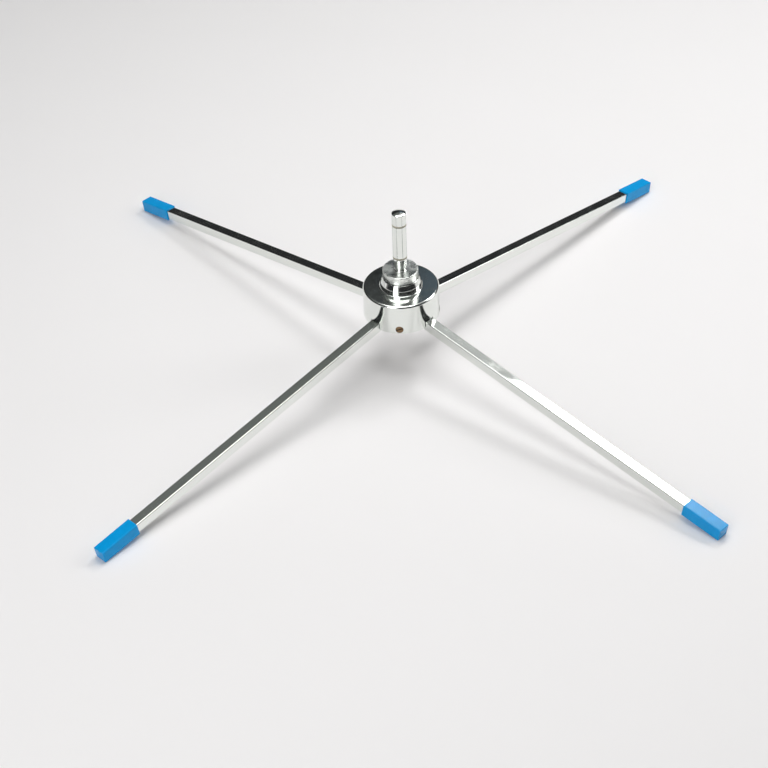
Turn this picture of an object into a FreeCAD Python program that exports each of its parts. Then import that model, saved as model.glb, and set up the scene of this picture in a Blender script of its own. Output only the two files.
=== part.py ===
"""Folding cross base for a light pole: a hub, four fold-down legs and a turning spindle.

Millimetres, +Z up. The origin is on the floor, on the hub's axis, midway between the four feet.
The four legs stand open; each folds down about its own hinge pin until it hangs upright.
"""
import math
import os

import FreeCAD
import Part

# Legs: square tubes that slope down to the floor
LEG_LENGTH = 572.0          # along a leg, from the hub's axis to the outer end of its cap
LEG_SLOPE = 8.25            # degrees below level
TUBE_SIDE = 15.0
TUBE_WALL = 1.2
TUBE_CORNER = 1.5
LEG_TAIL = 14.0             # from the hinge to the tube's inner end
LEG_ANGLES = {"rear_right": 45.0, "rear_left": 135.0, "front_left": 225.0, "front_right": 315.0}

# Foot caps: sleeves pushed over the tubes
CAP_LENGTH = 60.0
CAP_WALL = 1.7
CAP_END = 3.0               # thickness of the closed outer end
CAP_CORNER = 1.8            # rounding along the cap
CAP_ROUND = 1.2             # rounding round its outer end
CAP_LIP = 0.4               # bevel round its mouth
CAP_FIT = 0.1

# Hinges
PIN_DIAMETER = 5.0
PIN_SEAT = 10.0             # length of pin in the carrier on each side of a leg
PIN_BEVEL = 0.5
HINGE_CLEARANCE = 0.08      # radial, pin in tube
PIN_SEAT_GAP = 0.05         # pin in its groove
SIDE_CLEARANCE = 0.5        # leg in the carrier's slot, each side
SWING_CLEARANCE = 0.5       # round the swinging end of a leg
STOP_CLEARANCE = 0.1        # leg's top to the stop it opens against
STOP_LENGTH = 8.4           # length of that stop along the leg

# Hub shell
SKIRT_WALL = 3.5
SHELL_FIT = 0.1             # shell round the carrier
HUB_HEIGHT = 46.1           # foot of the skirt to the flat top
HUB_ROUND = 3.2             # top edge of the skirt
SKIRT_EDGE = 0.6            # foot edge of the skirt
TOP_WALL = 3.5
SLOT_SIDE_GAP = 0.9         # shell's slot to the leg's side
SLOT_TOP_GAP = 1.0
SLOT_CORNER = 1.5
BOSS_FOOT_ROUND = 1.5       # hollow round where the boss stands on the flat top
BOSS_STAGE_TAPER = 0.8      # nearly upright lower stage, up to the boss's edge
BOSS_STAGE_HEIGHT = 7.5
BOSS_CONE_WIDTH = 3.3       # steep cone from that edge up to the boss's rim
BOSS_CONE_HEIGHT = 7.1
BOSS_RIM = 8.0              # wall round the upper bearing at the rim
LIP_THICKNESS = 2.5         # top of the boss over the bearing

# Leg carrier and the plate under it
CARRIER_NECK_WALL = 4.1     # wall between the nut's pocket and the legs' inner ends
BEARING_SEAT_WALL = 5.0
SLOT_ROOF = 3.2             # carrier over the swinging ends
PIN_PLATE_THICKNESS = 2.2
PLATE_RECESS = 1.0          # pin plate above the foot of the skirt

# Screws
HUB_SCREW_DIAMETER = 6.0
HUB_SCREW_HEAD = 11.0
HUB_SCREW_SUNK = 0.5        # head below the skirt's face
HUB_SCREW_HOLD = 8.0        # length in the carrier
HUB_SCREW_LAND = 0.8        # metal under its hole
HUB_SCREW_TURN = -4.5       # degrees off the middle between two legs
PLATE_SCREW_DIAMETER = 4.0
PLATE_SCREW_HEAD = 7.4
PLATE_SCREW_HOLD = 8.0
PLATE_SCREW_INSET = 4.0     # inside the circle of the hinges
HEAD_RIM = 0.35             # straight edge of a countersunk head
SCREW_FIT = 0.05
HEAD_FIT = 0.12
DRIVER_SLOT = 0.16          # width of a driver slot, as a share of its head
DRIVER_DEPTH = 0.6          # its depth, as a share of the head's cone

# Bearings, deep groove
BEARING_BORE = 17.0
BEARING_OUTSIDE = 35.0
BEARING_WIDTH = 10.0
BEARING_BEVEL = 0.5
BEARING_FIT = 0.03
BALL_DIAMETER = 4.6
BALL_COUNT = 10
BALL_GAP = 0.3              # ball to the inner ring's groove
RACE_LAND = 2.9             # thickness of each ring at its edge
SPACER_WALL = 2.4

# Spindle
SHAFT_DIAMETER = 20.0
SHAFT_LENGTH = 76.4         # to the middle of its crowned top
SHAFT_CROWN = 28.0          # radius of that crown
SHAFT_EDGE = 0.9            # round between the crown and the side
NECK_HEIGHT = 19.0
WAIST_DIAMETER = 15.2
WAIST_FILLET = 2.0
DISC_DIAMETER = 50.0
DISC_HEIGHT = 11.9
DISC_TOP_ROUND = 1.4
DISC_FOOT_ROUND = 0.8
DISC_GAP = 1.1              # disc over the boss
COLLAR_WALL = 2.6           # shoulder that bears on the upper inner ring
COLLAR_CLEARANCE = 0.8      # round that shoulder, in the boss's lip
THREAD_DIAMETER = 12.0
NUT_ACROSS_FLATS = 19.0
NUT_HEIGHT = 7.0
NUT_BEVEL = 0.8
NUT_ROOM = 2.5              # spanner room round the nut
THREAD_END = 2.0            # thread below the nut
WASHER_THICKNESS = 2.5
THREAD_FIT = 0.05

# Rings on the shaft
RING_SECTION = 2.5
RING_PROUD = 0.1
RING_SIDE_ROOM = 0.25
RING_FIT = 0.02
LOWER_RING_RISE = 2.6       # above the foot of the straight shaft
UPPER_RING_DROP = 19.8      # below the top of the shaft

# Cutters go past the metal they cut
CUT_PAST = 1.0
CUT_BELOW = 10.0

# Worked out: the legs
slope = math.radians(LEG_SLOPE)
cap_side = TUBE_SIDE + 2 * (CAP_FIT + CAP_WALL)
cap_round = min(CAP_ROUND, 0.9 * CAP_CORNER)
axes_z = ((LEG_LENGTH - cap_round) * math.sin(slope)
          + (cap_side / 2 - cap_round) * math.cos(slope) + cap_round)
swing_radius = math.hypot(LEG_TAIL, TUBE_SIDE / 2)

# Worked out: the hub's plan, from the middle outwards
nut_corners = NUT_ACROSS_FLATS / math.cos(math.pi / 6)
pocket_radius = nut_corners / 2 + NUT_ROOM
slot_start = pocket_radius + CARRIER_NECK_WALL
pivot_radius = slot_start + SWING_CLEARANCE + swing_radius
stop_start = pivot_radius + TUBE_SIDE / 2 + SWING_CLEARANCE
carrier_radius = stop_start + STOP_LENGTH
skirt_inside = carrier_radius + SHELL_FIT
hub_radius = skirt_inside + SKIRT_WALL
seat_radius = BEARING_OUTSIDE / 2 + BEARING_FIT
core_radius = seat_radius + BEARING_SEAT_WALL
boss_rim_radius = seat_radius + BOSS_RIM
boss_edge_radius = boss_rim_radius + BOSS_CONE_WIDTH
boss_foot_radius = boss_edge_radius + BOSS_STAGE_TAPER
carrier_slot = TUBE_SIDE + 2 * SIDE_CLEARANCE
shell_slot = TUBE_SIDE + 2 * SLOT_SIDE_GAP
pin_length = carrier_slot + 2 * PIN_SEAT
pin_groove = PIN_DIAMETER / 2 + PIN_SEAT_GAP

# Worked out: the levels, from the hinges outwards
pivot_z = axes_z - pivot_radius * math.tan(slope)
carrier_foot = pivot_z - pin_groove
pin_plate_foot = carrier_foot - PIN_PLATE_THICKNESS
skirt_foot = pin_plate_foot - PLATE_RECESS
hub_top = skirt_foot + HUB_HEIGHT
shell_ceiling = hub_top - TOP_WALL
boss_edge_z = hub_top + BOSS_STAGE_HEIGHT
boss_top = boss_edge_z + BOSS_CONE_HEIGHT
slot_roof_z = pivot_z + swing_radius + SWING_CLEARANCE
lower_bearing_z = slot_roof_z + SLOT_ROOF
upper_bearing_z = boss_top - LIP_THICKNESS - BEARING_WIDTH
leg_half_rise = TUBE_SIDE / 2 / math.cos(slope)
shell_slot_top = axes_z - skirt_inside * math.tan(slope) + leg_half_rise + SLOT_TOP_GAP
hub_screw_z = carrier_foot + HUB_SCREW_LAND + HUB_SCREW_DIAMETER / 2 + SCREW_FIT
disc_foot = boss_top + DISC_GAP
disc_top = disc_foot + DISC_HEIGHT
shaft_foot = disc_top + NECK_HEIGHT
shaft_top = shaft_foot + SHAFT_LENGTH
washer_foot = lower_bearing_z - WASHER_THICKNESS
nut_foot = washer_foot - NUT_HEIGHT
thread_foot = nut_foot - THREAD_END
journal_radius = BEARING_BORE / 2 - BEARING_FIT
collar_radius = BEARING_BORE / 2 + COLLAR_WALL

FLIP = FreeCAD.Rotation(FreeCAD.Vector(1, 0, 0), 180)
Z_AXIS = FreeCAD.Vector(0, 0, 1)
ORIGIN = FreeCAD.Vector(0, 0, 0)


def point(radius, z):
    """A point of a turned profile, in the XZ plane."""
    return FreeCAD.Vector(radius, 0, z)


def line(start, end):
    return Part.LineSegment(start, end).toShape()


def quarter(start, end, centre):
    """A round from start to end about a centre, the short way."""
    middle = ((start - centre).normalize() + (end - centre).normalize()).normalize()
    middle = centre + middle * (start - centre).Length
    return Part.Arc(start, middle, end).toShape()


def turned(edges):
    """The solid that a closed profile in the XZ plane sweeps about the Z axis."""
    face = Part.Face(Part.Wire(edges))
    return face.revolve(ORIGIN, Z_AXIS, 360)


def turned_outline(corners):
    """A turned solid from (radius, z) corners joined by straight lines."""
    points = [point(radius, z) for radius, z in corners]
    edges = [line(points[i - 1], points[i]) for i in range(len(points))]
    return turned(edges)


def ring(inner, outer, z, height):
    """A flat ring with sharp edges."""
    top = z + height
    return turned_outline([(inner, z), (outer, z), (outer, top), (inner, top)])


def bevelled_ring(inner, outer, z, height, bevel):
    """A flat ring with its four edges bevelled."""
    top = z + height
    return turned_outline([
        (inner + bevel, z), (outer - bevel, z), (outer, z + bevel), (outer, top - bevel),
        (outer - bevel, top), (inner + bevel, top), (inner, top - bevel), (inner, z + bevel),
    ])


def cylinder_between(start, end, radius):
    axis = end - start
    return Part.makeCylinder(radius, axis.Length, start, axis)


def rounded_bar(side, corner, start, end):
    """A bar along X from start to end with a square section and rounded corners."""
    bar = Part.makeBox(end - start, side, side, FreeCAD.Vector(start, -side / 2, -side / 2))
    long_edges = [edge for edge in bar.Edges if abs(edge.tangentAt(edge.FirstParameter).x) > 0.9]
    return bar.makeFillet(corner, long_edges)


def on_leg(shape, angle):
    """Place a shape that was made along X, with its axis on the leg's, at a leg's angle."""
    placed = shape.copy()
    tilt = FreeCAD.Placement(
        FreeCAD.Vector(0, 0, axes_z), FreeCAD.Rotation(FreeCAD.Vector(0, 1, 0), LEG_SLOPE))
    turn = FreeCAD.Placement(ORIGIN, FreeCAD.Rotation(Z_AXIS, angle))
    placed.Placement = turn.multiply(tilt).multiply(placed.Placement)
    return placed


def at_angle(shape, angle):
    """Turn a shape about the hub's axis."""
    placed = shape.copy()
    placed.rotate(ORIGIN, Z_AXIS, angle)
    return placed


def leg_tube():
    """Square tube, open at both ends, with the hinge's bore through its two sides."""
    start = pivot_radius / math.cos(slope) - LEG_TAIL
    end = LEG_LENGTH - CAP_END
    outside = rounded_bar(TUBE_SIDE, TUBE_CORNER, start, end)
    bore_corner = max(TUBE_CORNER - TUBE_WALL, 0.2)
    bore = rounded_bar(
        TUBE_SIDE - 2 * TUBE_WALL, bore_corner, start - CUT_PAST, end + CUT_PAST)
    hinge_x = pivot_radius / math.cos(slope)
    hinge = cylinder_between(
        FreeCAD.Vector(hinge_x, -TUBE_SIDE, 0), FreeCAD.Vector(hinge_x, TUBE_SIDE, 0),
        PIN_DIAMETER / 2 + HINGE_CLEARANCE)
    return outside.cut(bore).cut(hinge)


def foot_cap():
    """Moulded sleeve, closed at its outer end, with a bevelled mouth."""
    start = LEG_LENGTH - CAP_LENGTH
    outside = rounded_bar(cap_side, CAP_CORNER, start, LEG_LENGTH)
    end_edges = [edge for edge in outside.Edges if edge.BoundBox.XMin > LEG_LENGTH - 0.01]
    outside = outside.makeFillet(cap_round, end_edges)
    mouth_edges = [edge for edge in outside.Edges if edge.BoundBox.XMax < start + 0.01]
    outside = outside.makeChamfer(min(CAP_LIP, CAP_WALL / 3), mouth_edges)
    cavity = rounded_bar(
        TUBE_SIDE + 2 * CAP_FIT, TUBE_CORNER + CAP_FIT, start - CUT_PAST, LEG_LENGTH - CAP_END)
    return outside.cut(cavity)


def hinge_pin():
    """Plain pin along Y through a leg that lies along X, with bevelled ends."""
    half = pin_length / 2
    radius = PIN_DIAMETER / 2
    bevel = PIN_BEVEL
    pin = turned_outline([
        (0, -half), (radius - bevel, -half), (radius, -half + bevel),
        (radius, half - bevel), (radius - bevel, half), (0, half),
    ])
    pin.rotate(ORIGIN, FreeCAD.Vector(1, 0, 0), 90)
    pin.translate(FreeCAD.Vector(pivot_radius, 0, pivot_z))
    return pin


def countersunk_screw(diameter, head, hold, through):
    """Slotted countersunk screw along Z: head's face at z = 0, shank downwards."""
    cone = (head - diameter) / 2
    shank_end = -(through + hold)
    bevel = diameter / 8
    screw = turned_outline([
        (0, 0), (head / 2, 0), (head / 2, -HEAD_RIM), (diameter / 2, -HEAD_RIM - cone),
        (diameter / 2, shank_end + bevel), (diameter / 2 - bevel, shank_end), (0, shank_end),
    ])
    slot_width = DRIVER_SLOT * head
    slot_depth = HEAD_RIM + DRIVER_DEPTH * cone
    slot = Part.makeBox(
        head + 2 * CUT_PAST, slot_width, slot_depth + CUT_PAST,
        FreeCAD.Vector(-head / 2 - CUT_PAST, -slot_width / 2, -slot_depth))
    return screw.cut(slot)


def countersunk_hole(diameter, head, sunk, depth):
    """The hole that such a screw needs, from z = sunk down to -depth, with its fits."""
    wide = head / 2 + HEAD_FIT
    narrow = diameter / 2 + SCREW_FIT
    cone_top = -HEAD_RIM - HEAD_FIT / 2
    return turned_outline([
        (0, sunk + CUT_PAST), (wide, sunk + CUT_PAST), (wide, cone_top),
        (narrow, cone_top - (wide - narrow)), (narrow, -depth), (0, -depth),
    ])


def to_skirt(shape, angle):
    """Lay a shape made along Z on its side, facing out of the skirt at an angle."""
    placed = shape.copy()
    placed.rotate(ORIGIN, FreeCAD.Vector(0, 1, 0), 90)
    placed.translate(FreeCAD.Vector(hub_radius - HUB_SCREW_SUNK, 0, hub_screw_z))
    placed.rotate(ORIGIN, Z_AXIS, angle)
    return placed


def to_pin_plate(shape, angle):
    """Turn a shape made along Z upside down under the pin plate at an angle."""
    placed = shape.copy()
    placed.Placement = FreeCAD.Placement(
        FreeCAD.Vector(pivot_radius - PLATE_SCREW_INSET, 0, pin_plate_foot), FLIP)
    placed.rotate(ORIGIN, Z_AXIS, angle)
    return placed


def screw_angles(turn=0.0):
    """Midway between neighbouring legs, with a turn from there."""
    return [angle + 45.0 + turn for angle in LEG_ANGLES.values()]


def hub_screws():
    through = SKIRT_WALL + SHELL_FIT - HUB_SCREW_SUNK
    screw = countersunk_screw(HUB_SCREW_DIAMETER, HUB_SCREW_HEAD, HUB_SCREW_HOLD, through)
    # each slot was left at its own angle when the screw was tightened
    turns = [20.0, 65.0, 110.0, 145.0]
    screws = []
    for angle, turn in zip(screw_angles(HUB_SCREW_TURN), turns):
        screws.append(to_skirt(at_angle(screw, turn), angle))
    return Part.makeCompound(screws)


def plate_screws():
    screw = countersunk_screw(
        PLATE_SCREW_DIAMETER, PLATE_SCREW_HEAD, PLATE_SCREW_HOLD, PIN_PLATE_THICKNESS)
    return Part.makeCompound([to_pin_plate(screw, angle) for angle in screw_angles()])


def hub_screw_hole():
    depth = SKIRT_WALL + SHELL_FIT - HUB_SCREW_SUNK + HUB_SCREW_HOLD + CUT_PAST
    return countersunk_hole(HUB_SCREW_DIAMETER, HUB_SCREW_HEAD, HUB_SCREW_SUNK, depth)


def plate_screw_hole():
    depth = PIN_PLATE_THICKNESS + PLATE_SCREW_HOLD + CUT_PAST
    return countersunk_hole(PLATE_SCREW_DIAMETER, PLATE_SCREW_HEAD, 0.0, depth)


def shell_profile():
    """Half section of the shell: skirt, flat top, stepped boss, lip and bearing seat."""
    lip_radius = collar_radius + COLLAR_CLEARANCE
    seat_top = boss_top - LIP_THICKNESS
    skirt_foot_in = point(skirt_inside, skirt_foot)
    foot_out = point(hub_radius - SKIRT_EDGE, skirt_foot)
    skirt_low = point(hub_radius, skirt_foot + SKIRT_EDGE)
    skirt_high = point(hub_radius, hub_top - HUB_ROUND)
    top_out = point(hub_radius - HUB_ROUND, hub_top)
    boss_edge = point(boss_edge_radius, boss_edge_z)
    boss_rim = point(boss_rim_radius, boss_top)
    lip_top = point(lip_radius, boss_top)
    lip_foot = point(lip_radius, seat_top)
    seat_top_out = point(seat_radius, seat_top)
    seat_foot = point(seat_radius, shell_ceiling)
    ceiling_out = point(skirt_inside, shell_ceiling)
    edge_centre = point(hub_radius - SKIRT_EDGE, skirt_foot + SKIRT_EDGE)
    round_centre = point(hub_radius - HUB_ROUND, hub_top - HUB_ROUND)
    # the hollow round touches the flat top and the stage's side
    stage_rise = (boss_edge - point(boss_foot_radius, hub_top)).normalize()
    half_turn = math.atan2(stage_rise.z, -stage_rise.x) / 2
    round_reach = BOSS_FOOT_ROUND * math.tan(half_turn)
    foot_start = point(boss_foot_radius + round_reach, hub_top)
    foot_end = point(boss_foot_radius, hub_top) + stage_rise * round_reach
    foot_centre = foot_start + point(0, BOSS_FOOT_ROUND)
    return [
        line(skirt_foot_in, foot_out),
        quarter(foot_out, skirt_low, edge_centre),
        line(skirt_low, skirt_high),
        quarter(skirt_high, top_out, round_centre),
        line(top_out, foot_start),
        quarter(foot_start, foot_end, foot_centre),
        line(foot_end, boss_edge),
        line(boss_edge, boss_rim),
        line(boss_rim, lip_top),
        line(lip_top, lip_foot),
        line(lip_foot, seat_top_out),
        line(seat_top_out, seat_foot),
        line(seat_foot, ceiling_out),
        line(ceiling_out, skirt_foot_in),
    ]


def shell_leg_slot():
    """Cutter for one slot in the skirt: open below, round-cornered above."""
    below = skirt_foot - CUT_BELOW
    cutter = Part.makeBox(
        hub_radius, shell_slot, shell_slot_top - below,
        FreeCAD.Vector(stop_start, -shell_slot / 2, below))
    top_edges = [
        edge for edge in cutter.Edges
        if edge.BoundBox.ZMin > shell_slot_top - 0.01 and edge.BoundBox.YLength < 0.01]
    return cutter.makeFillet(SLOT_CORNER, top_edges)


def hub_shell():
    """Chromed cup: slotted skirt with screw holes, and the boss that holds the upper bearing."""
    shell = turned(shell_profile())
    slot = shell_leg_slot()
    hole = hub_screw_hole()
    cutters = [at_angle(slot, angle) for angle in LEG_ANGLES.values()]
    cutters += [to_skirt(hole, angle) for angle in screw_angles(HUB_SCREW_TURN)]
    return shell.cut(Part.makeCompound(cutters))


def carrier_leg_cutters():
    """Cutters for one leg: room to swing, room under the stop, and the pin's groove."""
    half = carrier_slot / 2
    foot = carrier_foot - CUT_BELOW
    swing = Part.makeBox(
        stop_start - slot_start, carrier_slot, slot_roof_z - foot,
        FreeCAD.Vector(slot_start, -half, foot))
    stop_rise = TUBE_SIDE / 2 + STOP_CLEARANCE
    reach = Part.makeBox(
        2 * hub_radius, carrier_slot, stop_rise + 2 * HUB_HEIGHT,
        FreeCAD.Vector(pivot_radius, -half, -2 * HUB_HEIGHT))
    reach = on_leg(reach, 0)
    pin_half = pin_length / 2 + PIN_SEAT_GAP
    crown = cylinder_between(
        FreeCAD.Vector(pivot_radius, -pin_half, pivot_z),
        FreeCAD.Vector(pivot_radius, pin_half, pivot_z), pin_groove)
    throat = Part.makeBox(
        2 * pin_groove, 2 * pin_half, pivot_z - foot,
        FreeCAD.Vector(pivot_radius - pin_groove, -pin_half, foot))
    return [swing, reach, crown.fuse(throat)]


def leg_carrier():
    """Block inside the shell: it carries the hinges, stops the legs and seats a bearing."""
    blank = turned_outline([
        (pocket_radius, carrier_foot), (carrier_radius, carrier_foot),
        (carrier_radius, lower_bearing_z), (core_radius, lower_bearing_z),
        (core_radius, shell_ceiling), (seat_radius, shell_ceiling),
        (seat_radius, lower_bearing_z), (pocket_radius, lower_bearing_z),
    ])
    for angle in LEG_ANGLES.values():
        for cutter in carrier_leg_cutters():
            blank = blank.cut(at_angle(cutter, angle))
    hub_hole = hub_screw_hole()
    plate_hole = plate_screw_hole()
    for angle in screw_angles(HUB_SCREW_TURN):
        blank = blank.cut(to_skirt(hub_hole, angle))
    for angle in screw_angles():
        blank = blank.cut(to_pin_plate(plate_hole, angle))
    return blank


def pin_plate():
    """Four-lobed plate that closes the pins' grooves from below."""
    plate = ring(pocket_radius, carrier_radius, pin_plate_foot, PIN_PLATE_THICKNESS)
    slot = Part.makeBox(
        hub_radius, carrier_slot, 4 * PIN_PLATE_THICKNESS,
        FreeCAD.Vector(slot_start, -carrier_slot / 2, pin_plate_foot - PIN_PLATE_THICKNESS))
    for angle in LEG_ANGLES.values():
        plate = plate.cut(at_angle(slot, angle))
    hole = plate_screw_hole()
    for angle in screw_angles():
        plate = plate.cut(to_pin_plate(hole, angle))
    return plate


def race_circle(z):
    """Radius and level of the balls' centres in a bearing whose foot is at z."""
    groove = BALL_DIAMETER / 2 + BALL_GAP
    inner_land = BEARING_BORE / 2 + RACE_LAND
    outer_land = BEARING_OUTSIDE / 2 - RACE_LAND
    return (inner_land + outer_land) / 2, z + BEARING_WIDTH / 2, groove


def bearing_groove(z):
    pitch, middle, groove = race_circle(z)
    return Part.makeTorus(pitch, groove, FreeCAD.Vector(0, 0, middle), Z_AXIS)


def bearing_inner(z):
    inner = bevelled_ring(
        BEARING_BORE / 2, BEARING_BORE / 2 + RACE_LAND, z, BEARING_WIDTH, BEARING_BEVEL)
    return inner.cut(bearing_groove(z))


def bearing_outer(z):
    outer = bevelled_ring(
        BEARING_OUTSIDE / 2 - RACE_LAND, BEARING_OUTSIDE / 2, z, BEARING_WIDTH, BEARING_BEVEL)
    return outer.cut(bearing_groove(z))


def bearing_balls(z):
    """The balls lie against the outer ring's groove and clear of the inner ring's."""
    pitch, middle, groove = race_circle(z)
    outward = BALL_GAP - BEARING_FIT
    balls = []
    for index in range(BALL_COUNT):
        angle = 2 * math.pi * index / BALL_COUNT
        centre = FreeCAD.Vector(math.cos(angle), math.sin(angle), 0) * (pitch + outward)
        balls.append(Part.makeSphere(BALL_DIAMETER / 2, centre + FreeCAD.Vector(0, 0, middle)))
    return Part.makeCompound(balls)


def spacer(inner):
    """Sleeve between the two bearings' rings; inner is its bore's radius."""
    foot = lower_bearing_z + BEARING_WIDTH
    return ring(inner, inner + SPACER_WALL, foot, upper_bearing_z - foot)


def ring_levels():
    """Middles of the lower and the upper ring's grooves."""
    return shaft_foot + LOWER_RING_RISE, shaft_top - UPPER_RING_DROP


def spindle():
    """One turned bar: thread, journal, collar, disc, narrowed neck, grooved shaft."""
    thread = THREAD_DIAMETER / 2
    disc = DISC_DIAMETER / 2
    waist = WAIST_DIAMETER / 2
    shaft = SHAFT_DIAMETER / 2
    thread_bevel = THREAD_DIAMETER / 12
    ring_floor = shaft + RING_PROUD - RING_SECTION - RING_FIT
    half_groove = RING_SECTION / 2 + RING_SIDE_ROOM
    outline = [
        point(0, thread_foot), point(thread - thread_bevel, thread_foot),
        point(thread, thread_foot + thread_bevel), point(thread, lower_bearing_z),
        point(journal_radius, lower_bearing_z),
        point(journal_radius, upper_bearing_z + BEARING_WIDTH),
        point(collar_radius, upper_bearing_z + BEARING_WIDTH), point(collar_radius, disc_foot),
        point(disc - DISC_FOOT_ROUND, disc_foot),
    ]
    edges = [line(outline[i], outline[i + 1]) for i in range(len(outline) - 1)]
    foot_side = point(disc, disc_foot + DISC_FOOT_ROUND)
    top_side = point(disc, disc_top - DISC_TOP_ROUND)
    top_in = point(disc - DISC_TOP_ROUND, disc_top)
    fillet_out = point(waist + WAIST_FILLET, disc_top)
    fillet_up = point(waist, disc_top + WAIST_FILLET)
    foot_centre = point(disc - DISC_FOOT_ROUND, disc_foot + DISC_FOOT_ROUND)
    top_centre = point(disc - DISC_TOP_ROUND, disc_top - DISC_TOP_ROUND)
    waist_centre = point(waist + WAIST_FILLET, disc_top + WAIST_FILLET)
    edges += [
        quarter(outline[-1], foot_side, foot_centre),
        line(foot_side, top_side),
        quarter(top_side, top_in, top_centre),
        line(top_in, fillet_out),
        quarter(fillet_out, fillet_up, waist_centre),
    ]
    last = fillet_up
    climb = [point(shaft, shaft_foot)]
    for level in ring_levels():
        climb += [
            point(shaft, level - half_groove), point(ring_floor, level - half_groove),
            point(ring_floor, level + half_groove), point(shaft, level + half_groove)]
    # the edge's round touches the side and, from within, the crown
    crown_centre = point(0, shaft_top - SHAFT_CROWN)
    inward = shaft - SHAFT_EDGE
    edge_rise = math.sqrt((SHAFT_CROWN - SHAFT_EDGE) ** 2 - inward ** 2)
    edge_centre = crown_centre + point(inward, edge_rise)
    edge_end = crown_centre + (edge_centre - crown_centre).normalize() * SHAFT_CROWN
    climb.append(point(shaft, edge_centre.z))
    for corner in climb:
        edges.append(line(last, corner))
        last = corner
    summit = point(0, shaft_top)
    edges.append(quarter(last, edge_end, edge_centre))
    edges.append(quarter(edge_end, summit, crown_centre))
    edges.append(line(summit, outline[0]))
    return turned(edges)


def o_ring(level):
    centre = SHAFT_DIAMETER / 2 + RING_PROUD - RING_SECTION / 2
    return Part.makeTorus(centre, RING_SECTION / 2, FreeCAD.Vector(0, 0, level), Z_AXIS)


def spindle_washer():
    outer = pocket_radius - NUT_ROOM
    return ring(THREAD_DIAMETER / 2 + THREAD_FIT, outer, washer_foot, WASHER_THICKNESS)


def spindle_nut():
    """Hexagon nut with its corners turned off above and below."""
    corners = []
    for index in range(7):
        angle = math.pi / 3 * index
        corners.append(FreeCAD.Vector(
            nut_corners / 2 * math.cos(angle), nut_corners / 2 * math.sin(angle), nut_foot))
    prism = Part.Face(Part.makePolygon(corners)).extrude(FreeCAD.Vector(0, 0, NUT_HEIGHT))
    turned_off = turned_outline([
        (THREAD_DIAMETER / 2 + THREAD_FIT, nut_foot), (NUT_ACROSS_FLATS / 2, nut_foot),
        (nut_corners / 2 + 0.1, nut_foot + NUT_BEVEL),
        (nut_corners / 2 + 0.1, nut_foot + NUT_HEIGHT - NUT_BEVEL),
        (NUT_ACROSS_FLATS / 2, nut_foot + NUT_HEIGHT),
        (THREAD_DIAMETER / 2 + THREAD_FIT, nut_foot + NUT_HEIGHT),
    ])
    return prism.common(turned_off)


def write(node, shape):
    """Write one node, after a look at its soundness."""
    if not shape.isValid():
        raise ValueError(node + " is not a sound solid")
    shape.exportStep("parts/" + node + ".step")
    print("%-30s %9.1f mm3, %d solid(s)" % (node, shape.Volume, len(shape.Solids)))


def main():
    os.makedirs("parts", exist_ok=True)
    print("axes z %.2f, pivot r %.2f z %.2f, hub r %.2f" % (axes_z, pivot_radius, pivot_z, hub_radius))
    print("skirt foot %.2f, hub top %.2f, boss top %.2f, disc top %.2f, shaft top %.2f"
          % (skirt_foot, hub_top, boss_top, disc_top, shaft_top))
    write("hub_shell", hub_shell())
    write("leg_carrier", leg_carrier())
    write("pin_plate", pin_plate())
    write("hub_screws", hub_screws())
    write("plate_screws", plate_screws())
    tube = leg_tube()
    cap = foot_cap()
    pin = hinge_pin()
    for place, angle in LEG_ANGLES.items():
        write("leg_tube_" + place, on_leg(tube, angle))
        write("foot_cap_" + place, on_leg(cap, angle))
        write("hinge_pin_" + place, at_angle(pin, angle))
    for name, level in (("lower", lower_bearing_z), ("upper", upper_bearing_z)):
        write(name + "_bearing_outer", bearing_outer(level))
        write(name + "_bearing_inner", bearing_inner(level))
        write(name + "_bearing_balls", bearing_balls(level))
    write("inner_spacer", spacer(BEARING_BORE / 2))
    write("outer_spacer", spacer(BEARING_OUTSIDE / 2 - SPACER_WALL))
    write("spindle", spindle())
    lower_ring, upper_ring = ring_levels()
    write("lower_o_ring", o_ring(lower_ring))
    write("upper_o_ring", o_ring(upper_ring))
    write("spindle_washer", spindle_washer())
    write("spindle_nut", spindle_nut())


main()
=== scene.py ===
import math

import bmesh
import bpy
from bpy.props import FloatProperty, FloatVectorProperty, PointerProperty
from bpy.types import Operator, Panel, PropertyGroup
from mathutils import Matrix, Vector


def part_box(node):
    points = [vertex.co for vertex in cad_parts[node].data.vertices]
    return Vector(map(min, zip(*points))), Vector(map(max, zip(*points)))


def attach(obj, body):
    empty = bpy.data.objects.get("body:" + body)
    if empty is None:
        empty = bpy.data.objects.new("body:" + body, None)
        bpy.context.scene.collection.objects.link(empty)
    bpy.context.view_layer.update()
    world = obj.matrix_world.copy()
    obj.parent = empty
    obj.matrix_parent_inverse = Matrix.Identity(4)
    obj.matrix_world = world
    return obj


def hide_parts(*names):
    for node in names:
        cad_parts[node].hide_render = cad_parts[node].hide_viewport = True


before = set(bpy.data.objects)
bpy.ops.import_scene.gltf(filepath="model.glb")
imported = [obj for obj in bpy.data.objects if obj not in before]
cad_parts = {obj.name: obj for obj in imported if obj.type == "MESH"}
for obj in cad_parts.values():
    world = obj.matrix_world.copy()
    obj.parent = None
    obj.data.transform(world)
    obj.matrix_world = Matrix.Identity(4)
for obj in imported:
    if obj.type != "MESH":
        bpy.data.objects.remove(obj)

bl_info = {
    "name": "Folding cross base",
    "version": (1, 0, 0),
    "blender": (4, 5, 0),
    "location": "View3D > Sidebar > Cross base",
    "description": "Chromed four-leg base with a turning spindle, dressed round its frame",
    "category": "Object",
}

# Legs, in degrees round the hub from the X axis
LEG_ANGLES = {"rear_right": 45.0, "rear_left": 135.0, "front_left": 225.0, "front_right": 315.0}
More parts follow.
